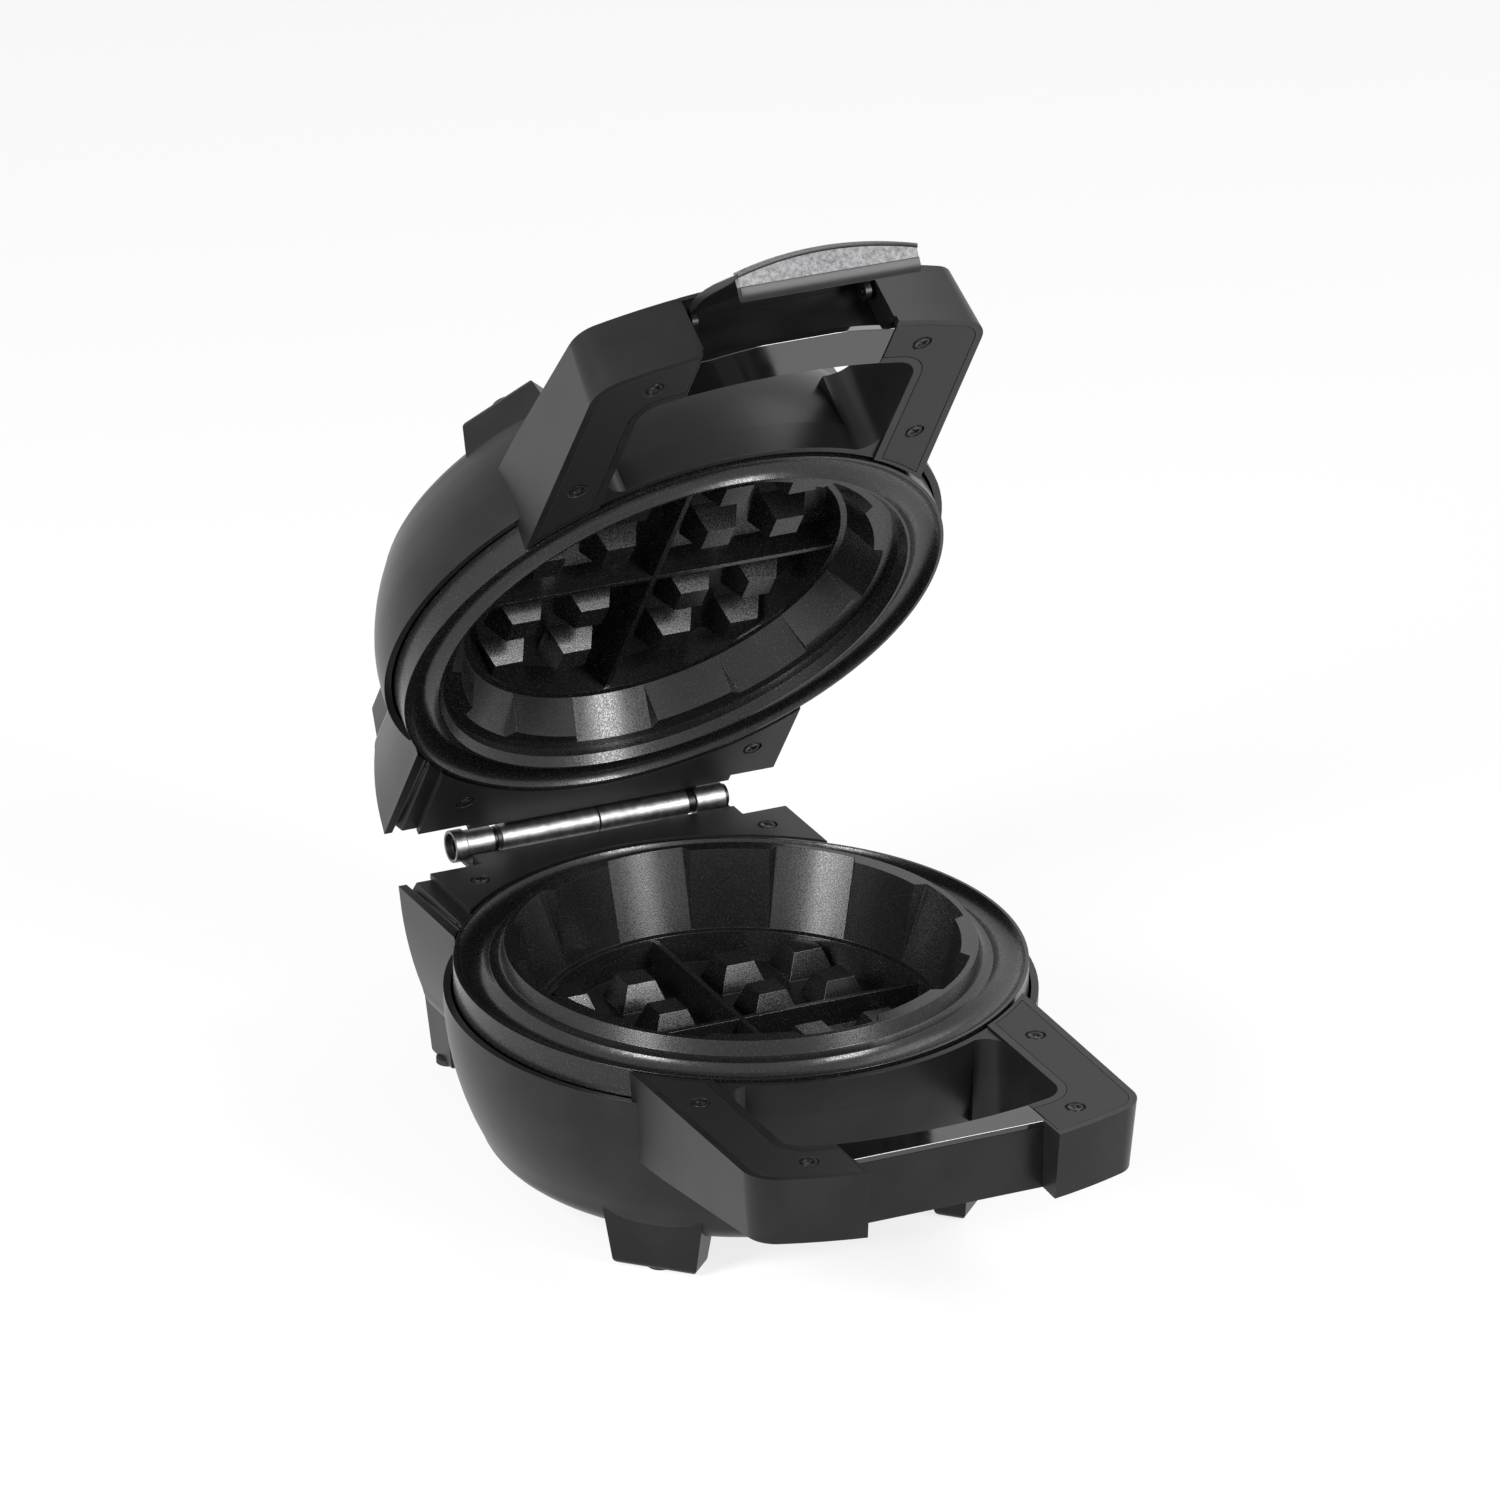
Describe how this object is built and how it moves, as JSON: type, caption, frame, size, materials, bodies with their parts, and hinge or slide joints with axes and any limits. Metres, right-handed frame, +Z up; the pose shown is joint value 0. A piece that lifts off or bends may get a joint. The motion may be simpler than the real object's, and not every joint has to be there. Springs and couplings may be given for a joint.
{
  "type": "stuffed waffle maker",
  "caption": "Round flip-type stuffed waffle maker: deep panelled plates with studs, clam-shell housings, double handle, rear hinge and a swing-over latch, lid open.",
  "frame": {"origin": "centre of the bounding box's footprint, on the surface that the foot pads stand on, with the lid open as at rest", "axes": "+Z up, +X along the hinge line to the right as seen from the handle, +Y from the handle towards the hinge"},
  "size_m": [0.207, 0.359, 0.3678],
  "materials": {
    "body_black": "satin moulded plastic",
    "cover_matte": "fine matt moulded plastic",
    "strip_gloss": "polished plastic",
    "nonstick_cast": "speckled non-stick coating on die-cast metal",
    "satin_steel": "satin",
    "bare_aluminium": "plain sheet",
    "insulator": "pale heat-proof plastic",
    "pad_rubber": "soft rubber",
    "black_screw": "black oxide",
    "latch_black": "satin black plastic",
    "hook_grey": "light grey satin face",
    "power_lens": "red lens",
    "ready_lens": "green lens"
  },
  "bodies": {
    "base": {"cord_bushing": "latch_black", "hinge_collars": "latch_black", "hinge_pin": "satin_steel", "lower_cooking_plate": "nonstick_cast", "lower_foot_pads": "pad_rubber", "lower_grip_strip": "strip_gloss", "lower_handle_cover_left": "cover_matte", "lower_handle_cover_right": "cover_matte", "lower_handle_screws": "black_screw", "lower_handle_shell": "body_black", "lower_heat_reflector": "bare_aluminium", "lower_heating_element": "satin_steel", "lower_hinge_bracket": "satin_steel", "lower_hinge_cover": "cover_matte", "lower_hinge_screws": "black_screw", "lower_housing": "body_black", "lower_left_foot": "body_black", "lower_left_leg": "body_black", "lower_right_foot": "body_black", "lower_right_leg": "body_black", "lower_thermal_fuse": "insulator", "terminal_block": "insulator", "thermostat": "bare_aluminium"},
    "lid": {"latch_pin": "satin_steel", "power_lamp_lens": "power_lens", "ready_lamp_lens": "ready_lens", "upper_cooking_plate": "nonstick_cast", "upper_foot_pads": "pad_rubber", "upper_grip_strip": "strip_gloss", "upper_handle_cover_left": "cover_matte", "upper_handle_cover_right": "cover_matte", "upper_handle_screws": "black_screw", "upper_handle_shell": "body_black", "upper_heat_reflector": "bare_aluminium", "upper_heating_element": "satin_steel", "upper_hinge_bracket": "satin_steel", "upper_hinge_cover": "cover_matte", "upper_hinge_screws": "black_screw", "upper_housing": "body_black", "upper_left_foot": "body_black", "upper_left_leg": "body_black", "upper_right_foot": "body_black", "upper_right_leg": "body_black", "upper_thermal_fuse": "insulator"},
    "latch": {"latch_cover": "latch_black", "latch_hook_plate": "hook_grey"}
  },
  "joints": [
    {"name": "lid_hinge", "type": "hinge", "parent": "base", "child": "lid", "pos_m": [0, 0.12, 0.082], "axis": [1, 0, 0], "range_deg": [-44.5, 55.46]},
    {"name": "latch_pivot", "type": "hinge", "parent": "lid", "child": "latch", "pos_m": [0, -0.03147, 0.33381], "axis": [1, 0, 0], "range_deg": [-4, 72.6]}
  ]
}
